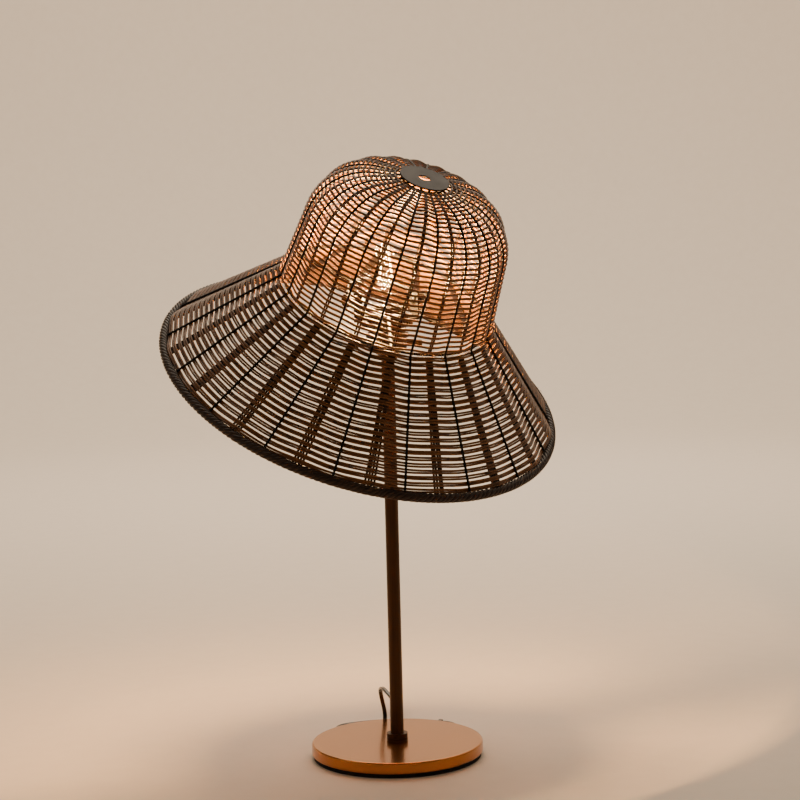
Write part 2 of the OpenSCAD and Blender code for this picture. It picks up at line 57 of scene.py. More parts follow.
def add(tree, kind, inputs=None, **settings):
    """Adds a node with its settings, and gives its inputs values or other nodes' outputs."""
    made = tree.nodes.new(kind)
    for name, value in settings.items():
        setattr(made, name, value)
    for socket, value in (inputs or {}).items():
        if isinstance(value, bpy.types.Node):
            value = next(s for s in value.outputs if s.enabled)
        if isinstance(value, bpy.types.NodeSocket):
            tree.links.new(value, made.inputs[socket])
        else:
            made.inputs[socket].default_value = value
    return made


def new_material(name, **constants):
    """A material, its tree, its shader and its Object coordinates. Constants are set on the shader itself."""
    made = bpy.data.materials.new(name)
    made.use_nodes = True
    shader = made.node_tree.nodes["Principled BSDF"]
    for socket, value in constants.items():
        shader.inputs[socket.replace("_", " ")].default_value = value
    return made, made.node_tree, shader, add(made.node_tree, "ShaderNodeTexCoord").outputs["Object"]


def drive(tree, shader, colours, blend, rough, bump=None):
    """Colour and roughness run between two values each by blend, and bump is (height, depth in metres)."""
    colour = add(tree, "ShaderNodeMix", {0: blend, 6: linear(colours[0]), 7: linear(colours[1])}, data_type="RGBA")
    roughness = add(tree, "ShaderNodeMapRange", {"Value": blend, "To Min": rough[0], "To Max": rough[1]})
    tree.links.new(colour.outputs[2], shader.inputs["Base Color"])
    tree.links.new(roughness.outputs[0], shader.inputs["Roughness"])
    if bump:
        lift = add(tree, "ShaderNodeBump", {"Height": bump[0], "Distance": bump[1], "Strength": 1.0})
        tree.links.new(lift.outputs[0], shader.inputs["Normal"])


def paint(material, *nodes):
    """Gives CAD nodes a material."""
    for name in nodes:
        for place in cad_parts[name].material_slots:
            place.material = material


bronze, tree, shader, where = new_material("bronze_metallic_lacquer", Metallic=0.95, Coat_Weight=0.3,
                                           Coat_Roughness=0.08)
# flakes of 0.5 mm, drawn coarser than the real 0.05 mm ones so that they show
flake = add(tree, "ShaderNodeTexVoronoi", {"Vector": where, "Scale": 1 / (0.5 * MM)})
peel = add(tree, "ShaderNodeTexNoise", {"Vector": where, "Scale": 1 / (1.6 * MM), "Detail": 1.0})
cloud = add(tree, "ShaderNodeTexNoise", {"Vector": where, "Scale": 1 / (35 * MM), "Detail": 3.0})
blend = add(tree, "ShaderNodeMix", {0: 0.35, 2: cloud.outputs["Fac"], 3: flake.outputs["Color"]})
drive(tree, shader, ("#A2622A", "#BE7C3A"), blend, (0.18, 0.28), (peel.outputs["Fac"], 0.03 * MM))
paint(bronze, "base_disc")

# ---- Foam pad ----
# A die-cut disc of black EVA foam is glued under the base, so that the iron doesn't scratch the table.
# Closed cells leave a matt skin pocked with fine hollows, whose bottoms are painted darker: painted shade.
foam, tree, shader, where = new_material("eva_foam_cut", Specular_IOR_Level=0.25)
cells = add(tree, "ShaderNodeTexVoronoi", {"Vector": where, "Scale": 1 / (0.9 * MM)})
pits_and_shade = cells.outputs["Distance"]
# painted shade: the same distance that sinks each pit darkens its bottom
drive(tree, shader, ("#0E0E0F", "#1C1C1D"), pits_and_shade, (0.98, 0.85), (pits_and_shade, 0.1 * MM))
paint(foam, "base_pad")

# ---- Pole and collar ----
# A 14 mm steel tube, and the turned ring in two steps that hides its foot, sprayed with bronze lacquer; their colour is
# painted far darker than the base's, as painted shade where the bulb's light only grazes them.
# The tube was drawn along its length, so that faint long streaks lie under the paint.
pole_lacquer_painted_shade, tree, shader, where = new_material("bronze_lacquer_painted_shade", Metallic=0.6, Specular_IOR_Level=0.3)
stretch = add(tree, "ShaderNodeMapping", {"Vector": where, "Scale": (1, 1, 0.02)})
streak = add(tree, "ShaderNodeTexNoise", {"Vector": stretch, "Scale": 1 / (1.2 * MM), "Detail": 2.0})
peel = add(tree, "ShaderNodeTexNoise", {"Vector": where, "Scale": 1 / (1.4 * MM), "Detail": 1.0})
# painted shade: both colours are far darker than the base's bronze
drive(tree, shader, ("#382312", "#52361C"), streak.outputs["Fac"], (0.36, 0.48), (peel.outputs["Fac"], 0.03 * MM))
paint(pole_lacquer_painted_shade, "pole", "pole_collar")

# ---- Hidden fixings ----
# A hollow brass stud and nipple, with a zinc-plated nut, washer and inserts, hold the base, pole and holder together.
# Bright zinc has a cool, slightly cloudy shine, and brass a warm one with fine turning rings.


def grained(name, tones, rough, grain, depth, detail, **constants):
    """A material whose tone, gloss and relief follow one grain. grain and depth are in millimetres."""
    made, tree, shader, where = new_material(name, **constants)
    noise = add(tree, "ShaderNodeTexNoise", {"Vector": where, "Scale": 1 / (grain * MM), "Detail": detail})
    drive(tree, shader, tones, noise.outputs["Fac"], rough, (noise.outputs["Fac"], depth * MM))
    return made


zinc = grained("zinc_plated_steel", ("#A9ACAE", "#C9CCCF"), (0.3, 0.45), 3, 0.02, 4.0, Metallic=1.0)
paint(zinc, "base_washer", "base_nut", "pole_foot_insert", "pole_top_insert", "terminal_screws", "pivot_nuts")

brass, tree, shader, where = new_material("turned_brass", Metallic=1.0)
rings = add(tree, "ShaderNodeTexWave", {"Vector": where, "Scale": 1 / (9 * MM), "Distortion": 0.4},
            wave_type="BANDS", bands_direction="Z")
tarnish = add(tree, "ShaderNodeTexNoise", {"Vector": where, "Scale": 1 / (6 * MM), "Detail": 3.0})
drive(tree, shader, ("#A07C34", "#C9A65A"), tarnish.outputs["Fac"], (0.22, 0.38), (rings.outputs["Fac"], 0.03 * MM))
paint(brass, "base_stud", "holder_nipple", "screw_shell", "centre_contact", "bulb_contact", "plug_pins")

# ---- Grommet ----
# A push-in bush of soft black PVC lines the hole where the cord leaves the pole.
# It has a satin moulded skin.
rubber = grained("soft_pvc_moulded", ("#101010", "#1E1C1B"), (0.42, 0.6), 0.6, 0.04, 2.0, IOR=1.53)
paint(rubber, "cord_grommet")

# ---- Lampholder ----
# The E27 holder is compression-moulded black phenolic: a domed cap, a threaded skirt and two clamping rings.
# It has a hard, slightly mottled gloss, and the rings have finger grips all round.


def turned(name, outline, steps=72, cut=None, closed=True):
    """A turned solid about Z in millimetres. outline is (radius, height) counter-clockwise in the half plane.
    cut(radius, height, angle) gives the radius that is really there, for threads and grips."""
    points, faces, rows = [], [], []
    for r, z in outline:
        if r == 0:
            rows.append([len(points)] * steps)
            points.append((0, 0, z * MM))
            continue
        rows.append(list(range(len(points), len(points) + steps)))
        for i in range(steps):
            a = 2 * math.pi * i / steps
            real = cut(r, z, a) if cut else r
            points.append((real * math.cos(a) * MM, real * math.sin(a) * MM, z * MM))
    pairs = zip(rows, rows[1:] + rows[:1]) if closed else zip(rows, rows[1:])
    for low, high in pairs:
        for i in range(steps):
            j = (i + 1) % steps
            face = list(dict.fromkeys([low[i], low[j], high[j], high[i]]))
            if len(face) > 2:
                faces.append(face)
    mesh = bpy.data.meshes.new(name)
    mesh.from_pydata(points, [], faces)
    mesh.validate()
    return mesh


def piece(name, mesh, material, body, replaced=(), place=None, crease=35):
    """Puts a finished mesh in the scene, smooth up to a crease angle, on its body."""
    if place:
        mesh.transform(place)
    if material:
        mesh.materials.clear()
        mesh.materials.append(material)
    mesh.shade_smooth()
    mesh.set_sharp_from_angle(angle=math.radians(crease))
    made = bpy.data.objects.new(name, mesh)
    bpy.context.scene.collection.objects.link(made)
    if replaced:
        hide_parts(*replaced)
    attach(made, body)
    return made


phenolic, tree, shader, where = new_material("phenolic_moulded", IOR=1.58, Specular_IOR_Level=0.3)
mottle = add(tree, "ShaderNodeTexNoise", {"Vector": where, "Scale": 1 / (4 * MM), "Detail": 4.0})
fine = add(tree, "ShaderNodeTexNoise", {"Vector": where, "Scale": 1 / (0.7 * MM), "Detail": 1.0})
drive(tree, shader, ("#0D0C0B", "#1D1A18"), mottle.outputs["Fac"], (0.42, 0.56), (fine.outputs["Fac"], 0.02 * MM))
paint(phenolic, "holder_cap")

low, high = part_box("holder_shell")
skirt_low, skirt_high = low[2] / MM, high[2] / MM
collar_r, thread_r, wall_r, mouth_r, collar_h = 22, 19.9, 18, 15.2, 5
thread_pitch, thread_depth, thread_rows = 3.0, 0.35, 72
skirt_outline = [(wall_r, skirt_low), (collar_r, skirt_low), (collar_r, skirt_low + collar_h - 0.4),
                 (collar_r - 0.4, skirt_low + collar_h), (thread_r, skirt_low + collar_h)]
skirt_outline += [(thread_r, skirt_low + collar_h + 0.2 + i * (skirt_high - skirt_low - collar_h - 1) / thread_rows)
                  for i in range(thread_rows + 1)]
skirt_outline += [(19.2, skirt_high), (mouth_r, skirt_high), (mouth_r, skirt_high - 2), (wall_r, skirt_high - 2)]


def skirt_thread(r, z, a):
    return r - thread_depth + thread_depth * math.cos(2 * math.pi * z / thread_pitch - a) if r == thread_r else r


skirt_mesh = turned("holder_skirt", skirt_outline, 64, skirt_thread)
piece("holder_skirt", skirt_mesh, phenolic, "stand", ["holder_shell"])
ring_bore, grips, grip_depth = 20.05, 36, 0.55
for ring_name in ("shade_ring_lower", "shade_ring_upper"):
    low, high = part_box(ring_name)
    z0, z1, outer = low[2] / MM, high[2] / MM, high[0] / MM
    ring_outline = [(ring_bore, z0), (outer - 1.5, z0), (outer, z0 + 1), (outer, z1 - 1), (outer - 1.5, z1),
                    (ring_bore, z1)]

    def grip(r, z, a):
        return r - grip_depth * max(0, math.cos(grips * a)) ** 3 if r == outer else r

    ring_mesh = turned(ring_name, ring_outline, 8 * grips, grip)
    piece(ring_name + "_gripped", ring_mesh, phenolic, "stand", [ring_name])

# ---- Holder insert ----
# The live parts sit in a pressed block of cream steatite, a dense ceramic with a dry, faintly speckled face.
# Two tinned cores of the flex reach its screws.
steatite = grained("pressed_steatite", ("#D8D0BC", "#EEE8DA"), (0.45, 0.62), 0.8, 0.03, 3.0, IOR=1.6)
paint(steatite, "holder_insert")

# ---- Push-through switch ----
# A nylon bar passes through the holder cap, with a rounded button on each end that is pressed to switch.
# Moulded nylon has a soft satin skin.
nylon = grained("nylon_moulded", ("#141414", "#222120"), (0.36, 0.5), 0.5, 0.02, 2.0, IOR=1.53)
paint(nylon, "switch_bar")

low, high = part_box("switch_buttons")
button_r = (high[2] - low[2]) / 2 / MM
button_end = high[0] / MM
switch_z = (high[2] + low[2]) / 2 / MM
button_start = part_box("switch_bar")[1][0] / MM
round_r = 1.6
button_outline = [(0, button_start), (button_r - 0.4, button_start), (button_r, button_start + 0.4)]
button_outline += [(button_r, button_end - round_r)]
button_outline += [(button_r - round_r + round_r * math.cos(a), button_end - round_r + round_r * math.sin(a))
                   for a in (0.3, 0.7, 1.1, 1.5)]
button_outline += [(0, button_end)]


def joined(name, meshes):
    """One mesh of several."""
    points, faces = [], []
    for mesh in meshes:
        start = len(points)
        points += [v.co.copy() for v in mesh.vertices]
        faces += [[start + i for i in p.vertices] for p in mesh.polygons]
    made = bpy.data.meshes.new(name)
    made.from_pydata(points, [], faces)
    return made


halves = []
for side in (1, -1):
    half = turned("button", button_outline, 40, closed=False)
    half.transform(Matrix.Translation((0, 0, switch_z * MM)) @ Matrix.Rotation(side * math.pi / 2, 4, "Y"))
    halves.append(half)
piece("switch_button_pair", joined("switch_button_pair", halves), nylon, "switch", ["switch_buttons"])

# ---- Gimbal and hat frame ----
# A stamped steel ring swivels on the holder, and its two ears carry the hat's hub on knurled screws.
# The hub, spokes, hoops, top plate and ribs are steel, welded and then stove-enamelled black, with a soft sheen.
enamel, tree, shader, where = new_material("black_stove_enamel", IOR=1.5, Specular_IOR_Level=0.2)
peel = add(tree, "ShaderNodeTexNoise", {"Vector": where, "Scale": 1 / (1.1 * MM), "Detail": 2.0})
wear = add(tree, "ShaderNodeTexNoise", {"Vector": where, "Scale": 1 / (14 * MM), "Detail": 3.0})
drive(tree, shader, ("#070606", "#161412"), wear.outputs["Fac"], (0.45, 0.6), (peel.outputs["Fac"], 0.04 * MM))
paint(enamel, "gimbal_ring", "spider_hub", "spider_spokes", "neck_hoop", "rim_hoop", "crown_hoop", "crown_plate",
      "shade_ribs")

# the washers are stamped from sheets of vulcanised fibre, which is dry, brown and faintly flecked
fibre_washer = grained("vulcanised_fibre", ("#6E4A2C", "#8E6844"), (0.7, 0.85), 0.6, 0.03, 3.0, IOR=1.5)
paint(fibre_washer, "pivot_washers")

# the hat's own frame: the neck's centre at the origin and its axis along Z
neck_z = 480 * MM
tilt, tilt_azimuth = math.radians(30), math.radians(-54)
gimbal_place = Matrix.Translation((0, 0, neck_z)) @ Matrix.Rotation(tilt_azimuth, 4, "Z")
hat_place = gimbal_place @ Matrix.Rotation(tilt, 4, "Y")

# the screws turn about the tilt axis: a plain shank, and a knob with knurls round it and a dished face
knob_low, knob_high, knob_r, shank_r, shank_from = 46.5, 52.5, 7.0, 2.0, 31.5
knurls, knurl_depth = 24, 0.5
knob_outline = [(0, shank_from), (shank_r - 0.3, shank_from), (shank_r, shank_from + 0.3), (shank_r, knob_low),
                (knob_r - 0.6, knob_low), (knob_r, knob_low + 0.6), (knob_r, knob_high - 0.8),
                (knob_r - 0.8, knob_high), (knob_r - 2.2, knob_high), (knob_r - 2.6, knob_high - 0.4),
                (0, knob_high - 0.4)]


def knurl(r, z, a):
    return r - knurl_depth * (0.5 + 0.5 * math.cos(knurls * a)) if r >= knob_r - 0.8 and z > knob_low else r


knobs = []
for side in (1, -1):
    knob = turned("knob", knob_outline, 6 * knurls, knurl, closed=False)
    knob.transform(gimbal_place @ Matrix.Rotation(-side * math.pi / 2, 4, "X"))
    knobs.append(knob)
piece("pivot_knobs", joined("pivot_knobs", knobs), enamel, "carrier", ["pivot_screws"])

# ---- Weavers of crown and brim ----
# Soaked rattan core is woven in rows behind each wire rib and in front of each bundle of stakes, one strand a row
# on the crown and two on the brim. Dried and smoked, it is a fibrous brown with long streaks and a dull wax sheen.
neck_r, rim_r, brim_h, crown_h = 111.5, 215.0, 104.0, 136.5
side_lean, top_lean, shoulder, plate_r = math.radians(6), math.radians(9), 62.0, 25.5
border_d, rib_count = 10.0, 18
shoulder_steps = 24
corner_z = (crown_h - math.tan(top_lean) * (neck_r - plate_r)) / (1 - math.tan(top_lean) * math.tan(side_lean))
corner_r = neck_r - math.tan(side_lean) * corner_z
turn = math.pi / 2 - side_lean - top_lean
tangent = shoulder * math.tan(turn / 2)
side_end = (corner_r + math.sin(side_lean) * tangent, corner_z - math.cos(side_lean) * tangent)
centre = (side_end[0] - shoulder * math.cos(side_lean), side_end[1] - shoulder * math.sin(side_lean))
crown_line = [(neck_r, 0.0)]
for i in range(shoulder_steps + 1):
    a = side_lean + turn * i / shoulder_steps
    crown_line.append((centre[0] + shoulder * math.cos(a), centre[1] + shoulder * math.sin(a)))
crown_line += [(plate_r - 4, crown_h + math.tan(top_lean) * 4)]
brim_lean = math.atan2(rim_r - neck_r, brim_h)
brim_len = math.hypot(rim_r - neck_r, brim_h)


def on_brim(s):
    """A point of the brim's middle surface, s millimetres down from the neck."""
    return neck_r + math.sin(brim_lean) * s, -math.cos(brim_lean) * s


def new_tree(name, *sizes):
    """A Geometry Nodes tree with named inputs, and its Group Input's sockets by name."""
    made = bpy.data.node_groups.new(name, "GeometryNodeTree")
    made.interface.new_socket("Geometry", in_out="OUTPUT", socket_type="NodeSocketGeometry")
    made.interface.new_socket("Path", in_out="INPUT", socket_type="NodeSocketGeometry")
    for label, kind in sizes:
        made.interface.new_socket(label, in_out="INPUT", socket_type="NodeSocket" + kind)
    return made, add(made, "NodeGroupInput").outputs


def end_tree(made, geometry, material):
    """Ends a tree with real geometry that has its material."""
    real = add(made, "GeometryNodeRealizeInstances", {"Geometry": geometry})
    finished = add(made, "GeometryNodeSetMaterial", {"Geometry": real, "Material": material})
    add(made, "NodeGroupOutput", {"Geometry": finished})


def woven(name, line, tree, replaced, sizes):
    """A piece of the hat that a tree makes along a line in the XZ plane, which is in millimetres."""
    path = bpy.data.meshes.new(name + "_path")
    path.from_pydata([(r * MM, 0, z * MM) for r, z in line], [(i, i + 1) for i in range(len(line) - 1)], [])
    carrier = bpy.data.objects.new(name + "_path", path)
    bpy.context.scene.collection.objects.link(carrier)
    modifier = carrier.modifiers.new("grow", "NODES")
    modifier.node_group = tree
    for item in tree.interface.items_tree:
        if item.item_type == "SOCKET" and item.in_out == "INPUT" and item.name in sizes:
            modifier[item.identifier] = sizes[item.name]
    scene_now = bpy.context.evaluated_depsgraph_get()
    made = bpy.data.meshes.new_from_object(carrier.evaluated_get(scene_now), depsgraph=scene_now)
    carrier.modifiers.remove(modifier)
    bpy.data.objects.remove(carrier)
    made.name = name
    piece(name, made, None, "shade", replaced, hat_place, 180)


def rattan(name, dark, light, rough):
    """Rattan core: tone changes from strand to strand, and streaks and nodes lie along each strand."""
    made, t, skin, place = new_material(name, IOR=1.5, Specular_IOR_Level=0.4)
    tone = add(t, "ShaderNodeAttribute", attribute_name="tone")
    fibre = add(t, "ShaderNodeAttribute", attribute_name="fibre")
    # streaks 0.4 mm wide, which run with the strand because the fibre coordinate is fixed to its section
    across = add(t, "ShaderNodeVectorMath", {0: fibre.outputs["Vector"], 1: (3.2, 3.2, 0)}, operation="MULTIPLY")
    along = add(t, "ShaderNodeVectorMath", {0: place, "Scale": 1 / (18 * MM)}, operation="SCALE")
    both = add(t, "ShaderNodeVectorMath", {0: across, 1: along}, operation="ADD")
    streak = add(t, "ShaderNodeTexNoise", {"Vector": both, "W": tone.outputs["Fac"], "Scale": 1.0, "Detail": 3.0},
                 noise_dimensions="4D")
    stain = add(t, "ShaderNodeTexNoise", {"Vector": place, "Scale": 1 / (26 * MM), "Detail": 2.0})
    # the dark ring where a leaf grew, every few centimetres
    knot = add(t, "ShaderNodeTexNoise", {"Vector": place, "Scale": 1 / (7 * MM), "Detail": 0.0})
    knots = add(t, "ShaderNodeMapRange", {"Value": knot.outputs["Fac"], "From Min": 0.68, "From Max": 0.74,
                                          "To Min": 0.0, "To Max": 0.35})
    own = add(t, "ShaderNodeMath", {0: tone.outputs["Fac"], 1: 0.35}, operation="MULTIPLY")
    mixed = add(t, "ShaderNodeMath", {0: streak.outputs["Fac"], 1: 0.5, 2: own}, operation="MULTIPLY_ADD")
    stained = add(t, "ShaderNodeMath", {0: stain.outputs["Fac"], 1: 0.35, 2: mixed}, operation="MULTIPLY_ADD")
    even = add(t, "ShaderNodeMath", {0: stained, 1: knots}, operation="SUBTRACT", use_clamp=True)
    drive(t, skin, (dark, light), even, rough, (streak.outputs["Fac"], 0.12 * MM))
    return made


weaver_rattan = rattan("smoked_rattan_core", "#221106", "#865626", (0.56, 0.38))


def strands(t, count, line):
    """A real copy of a line for each strand, and the strand's number, which each of its points carries."""
    starts = add(t, "GeometryNodePoints", {"Count": count})
    number = add(t, "GeometryNodeInputIndex")
    numbered = add(t, "GeometryNodeStoreNamedAttribute", {"Geometry": starts, "Name": "strand", "Value": number})
    copies = add(t, "GeometryNodeInstanceOnPoints", {"Points": numbered, "Instance": line})
    loose = add(t, "GeometryNodeRealizeInstances", {"Geometry": copies})
    return loose, add(t, "GeometryNodeInputNamedAttribute", {"Name": "strand"})


def hoop_strands(t, count, steps):
    """Strands that go round Z, and the position and the angle of their points."""
    hoop = add(t, "GeometryNodeCurvePrimitiveCircle", {"Resolution": steps, "Radius": 1.0})
    loose, strand = strands(t, count, hoop)
    at = add(t, "GeometryNodeInputPosition")
    xyz = add(t, "ShaderNodeSeparateXYZ", {"Vector": at})
    angle = add(t, "ShaderNodeMath", {0: xyz.outputs["Y"], 1: xyz.outputs["X"]}, operation="ARCTAN2")
    return loose, strand, at, angle


def in_groups(t, strand, size):
    """The number of a strand's group, and its own number within the group."""
    share = add(t, "ShaderNodeMath", {0: strand, 1: size}, operation="DIVIDE")
    group = add(t, "ShaderNodeMath", {0: share}, operation="FLOOR")
    before = add(t, "ShaderNodeMath", {0: group, 1: size}, operation="MULTIPLY")
    return group, add(t, "ShaderNodeMath", {0: strand, 1: before}, operation="SUBTRACT")


def drifting(t, at, strand, seed, apart, scale, detail):
    """A drift from -0.5 to 0.5 along each strand, its own for each, because their noise is cut so far apart."""
    own_seed = add(t, "ShaderNodeMath", {0: strand, 1: apart, 2: seed}, operation="MULTIPLY_ADD")
    noise = add(t, "ShaderNodeTexNoise", {"Vector": at, "W": own_seed, "Scale": scale, "Detail": detail},
                noise_dimensions="4D")
    return add(t, "ShaderNodeMath", {0: noise.outputs["Fac"], 1: 0.5}, operation="SUBTRACT")


def square_to(t, tangent):
    """The way out, square to a line in the XZ plane."""
    run = add(t, "ShaderNodeSeparateXYZ", {"Vector": tangent})
    back = add(t, "ShaderNodeMath", {0: run.outputs["X"], 1: -1.0}, operation="MULTIPLY")
    return add(t, "ShaderNodeCombineXYZ", {"X": run.outputs["Z"], "Z": back})


def end_strands(t, seed, strand, lines, place, angle, thickness, sides, material, capped=False, uneven=(1.0, 1.0)):
    """Turns the strands' points about Z, gives each strand a tone, and ends the tree with round rods along them."""
    round_z = add(t, "ShaderNodeVectorRotate", {"Vector": place, "Angle": angle}, rotation_type="Z_AXIS")
    laid = add(t, "GeometryNodeSetPosition", {"Geometry": lines, "Position": round_z})
    chance = add(t, "FunctionNodeRandomValue", {"ID": strand, "Seed": seed})
    toned = add(t, "GeometryNodeStoreNamedAttribute", {"Geometry": laid, "Name": "tone", "Value": chance.outputs[1]})
    half = add(t, "ShaderNodeMath", {0: thickness, 1: 0.5}, operation="MULTIPLY")
    thin = add(t, "ShaderNodeMapRange", {"Value": chance.outputs[1], "To Min": uneven[0], "To Max": uneven[1]})
    thick = add(t, "ShaderNodeMath", {0: half, 1: thin}, operation="MULTIPLY")
    section = add(t, "GeometryNodeCurvePrimitiveCircle", {"Resolution": sides, "Radius": 1.0})
    across = add(t, "GeometryNodeInputPosition")
    marked = add(t, "GeometryNodeStoreNamedAttribute", {"Geometry": section, "Name": "fibre", "Value": across},
                 data_type="FLOAT_VECTOR")
    rods = add(t, "GeometryNodeCurveToMesh", {"Curve": toned, "Profile Curve": marked, "Scale": thick,
                                              "Fill Caps": capped})
    end_tree(t, rods, material)


t, given = new_tree("lay_weavers", ("Rows", "Int"), ("Strands per Row", "Int"), ("First Row", "Float"),
                    ("Row Pitch", "Float"), ("Strand Gap", "Float"), ("Strand Thickness", "Float"), ("Ribs", "Int"),
                    ("Swing", "Float"), ("Swing at Top", "Float"), ("Lift", "Float"), ("Wander", "Float"),
                    ("Steps", "Int"), ("Sides", "Int"), ("Seed", "Int"))
weaving = t
profile = add(t, "GeometryNodeMeshToCurve", {"Mesh": given["Path"]})
count = add(t, "ShaderNodeMath", {0: given["Rows"], 1: given["Strands per Row"]}, operation="MULTIPLY")
loose, strand, at, angle = hoop_strands(t, count, given["Steps"])
row, second = in_groups(t, strand, given["Strands per Row"])
row_start = add(t, "ShaderNodeMath", {0: row, 1: given["Row Pitch"], 2: given["First Row"]}, operation="MULTIPLY_ADD")
strand_start = add(t, "ShaderNodeMath", {0: second, 1: given["Strand Gap"], 2: row_start}, operation="MULTIPLY_ADD")
drift = drifting(t, at, strand, given["Seed"], 3.7, 5.0, 1.0)
reach = add(t, "ShaderNodeMath", {0: drift, 1: given["Wander"], 2: strand_start}, operation="MULTIPLY_ADD")
spot = add(t, "GeometryNodeSampleCurve", {"Curves": profile, "Length": reach}, mode="LENGTH")
# each strand swings in behind the ribs and out between them, less where the ribs run together near the top
phase = add(t, "ShaderNodeMath", {0: angle, 1: given["Ribs"]}, operation="MULTIPLY")
wave = add(t, "ShaderNodeMath", {0: phase}, operation="COSINE")
reached = add(t, "ShaderNodeSeparateXYZ", {"Vector": spot.outputs["Position"]})
deep = add(t, "ShaderNodeMapRange", {"Value": reached.outputs["X"], "From Min": 25 * MM, "From Max": 90 * MM,
                                     "To Min": given["Swing at Top"], "To Max": given["Swing"]})
swing = add(t, "ShaderNodeMath", {0: wave, 1: deep}, operation="MULTIPLY")
far = add(t, "ShaderNodeMath", {0: given["Lift"], 1: swing}, operation="SUBTRACT")
slack = add(t, "ShaderNodeMath", {0: drift, 1: 0.6 * MM, 2: far}, operation="MULTIPLY_ADD")
offset = add(t, "ShaderNodeVectorMath", {0: square_to(t, spot.outputs["Tangent"]), "Scale": slack}, operation="SCALE")
moved = add(t, "ShaderNodeVectorMath", {0: spot.outputs["Position"], 1: offset}, operation="ADD")
end_strands(t, given["Seed"], strand, loose, moved, angle, given["Strand Thickness"], given["Sides"], weaver_rattan,
            uneven=(0.9, 1.08))

woven("weave_crown", crown_line, weaving, ["crown_weave"], {
    "Rows": 35, "Strands per Row": 1, "First Row": 4.4 * MM, "Row Pitch": 5.2 * MM, "Strand Gap": 0.0,
    "Strand Thickness": 2.7 * MM, "Ribs": rib_count, "Swing": 1.5 * MM, "Swing at Top": 0.3 * MM, "Lift": 0.1 * MM,
    "Wander": 1.5 * MM, "Steps": 144, "Sides": 8, "Seed": 11})

brim_low = on_brim(brim_len - border_d + 1)
woven("weave_brim", [brim_low, on_brim(0)], weaving, ["brim_weave"], {
    "Rows": 22, "Strands per Row": 2, "First Row": 1.6 * MM, "Row Pitch": 6.27 * MM, "Strand Gap": 2.3 * MM,
    "Strand Thickness": 2.4 * MM, "Ribs": rib_count, "Swing": 2.3 * MM, "Swing at Top": 2.3 * MM, "Lift": 0.1 * MM,
    "Wander": 1.2 * MM, "Steps": 144, "Sides": 7, "Seed": 23})

# ---- Stakes ----
# Between the wires, the weavers cross bundles of rattan rods, two on the crown and four on the brim,
# where the bundle fans out towards the rim. The rods take a darker copy of the rattan: painted shade, for the dark
# bands where they hold back the bulb's light.
rattan_painted_shade = rattan("rattan_rod_painted_shade", "#100804", "#2E190B", (0.58, 0.42))

t, given = new_tree("stand_stakes", ("Bundles", "Int"), ("Rods", "Int"), ("Thickness", "Float"),
                    ("Spread at Start", "Float"), ("Spread at End", "Float"), ("Lift", "Float"), ("Wander", "Float"),
                    ("Steps", "Int"), ("Seed", "Int"))
staking = t
profile = add(t, "GeometryNodeMeshToCurve", {"Mesh": given["Path"]})
fine = add(t, "GeometryNodeResampleCurve", {"Curve": profile, "Count": given["Steps"]})
count = add(t, "ShaderNodeMath", {0: given["Bundles"], 1: given["Rods"]}, operation="MULTIPLY")
loose, strand = strands(t, count, fine)
at = add(t, "GeometryNodeInputPosition")
share = add(t, "GeometryNodeSplineParameter")
bundle, rod = in_groups(t, strand, given["Rods"])
last_rod = add(t, "ShaderNodeMath", {0: given["Rods"], 1: 1.0}, operation="SUBTRACT")
middle = add(t, "ShaderNodeMath", {0: last_rod, 1: -0.5, 2: rod}, operation="MULTIPLY_ADD")
spread = add(t, "ShaderNodeMapRange", {"Value": share.outputs["Factor"], "To Min": given["Spread at Start"],
                                       "To Max": given["Spread at End"]})
drift = drifting(t, at, strand, given["Seed"], 5.3, 38.0, 0.0)
bent = add(t, "ShaderNodeMath", {0: drift, 1: given["Wander"]}, operation="MULTIPLY")
aside = add(t, "ShaderNodeMath", {0: middle, 1: spread, 2: bent}, operation="MULTIPLY_ADD")
out = square_to(t, add(t, "GeometryNodeInputTangent"))
proud = add(t, "ShaderNodeVectorMath", {0: out, "Scale": given["Lift"]}, operation="SCALE")
sideways = add(t, "ShaderNodeCombineXYZ", {"Y": aside})
shifted = add(t, "ShaderNodeVectorMath", {0: proud, 1: sideways}, operation="ADD")
moved = add(t, "ShaderNodeVectorMath", {0: at, 1: shifted}, operation="ADD")
step = add(t, "ShaderNodeMath", {0: 2 * math.pi, 1: given["Bundles"]}, operation="DIVIDE")
between = add(t, "ShaderNodeMath", {0: bundle, 1: 0.5}, operation="ADD")
angle = add(t, "ShaderNodeMath", {0: between, 1: step}, operation="MULTIPLY")
end_strands(t, given["Seed"], strand, loose, moved, angle, given["Thickness"], 8, rattan_painted_shade, capped=True)

crown_stake_line = [(neck_r - 0.5, 2.5)] + crown_line[1:-1] + [(plate_r + 2.5, crown_h - math.tan(top_lean) * 2.5)]
woven("stakes_crown", crown_stake_line, staking, ["crown_stakes"], {
    "Bundles": rib_count, "Rods": 2, "Thickness": 2.1 * MM, "Spread at Start": 2.3 * MM,
    "Spread at End": 1.8 * MM, "Lift": 0.35 * MM, "Wander": 3.2 * MM, "Steps": 72, "Seed": 5})
woven("stakes_brim", [brim_low, on_brim(4)], staking, ["brim_stakes"], {
    "Bundles": rib_count, "Rods": 4, "Thickness": 2.5 * MM, "Spread at Start": 3.1 * MM,
    "Spread at End": 1.9 * MM, "Lift": 0.2 * MM, "Wander": 1.6 * MM, "Steps": 30, "Seed": 8})

# ---- Rim border ----
# The ends of the stakes are bent over the rim wire and twisted into a rope of five strands all round the brim.
# It takes the same darker copy of the rattan, painted shade, with the same streaks.
border_line = on_brim(brim_len - border_d / 2)

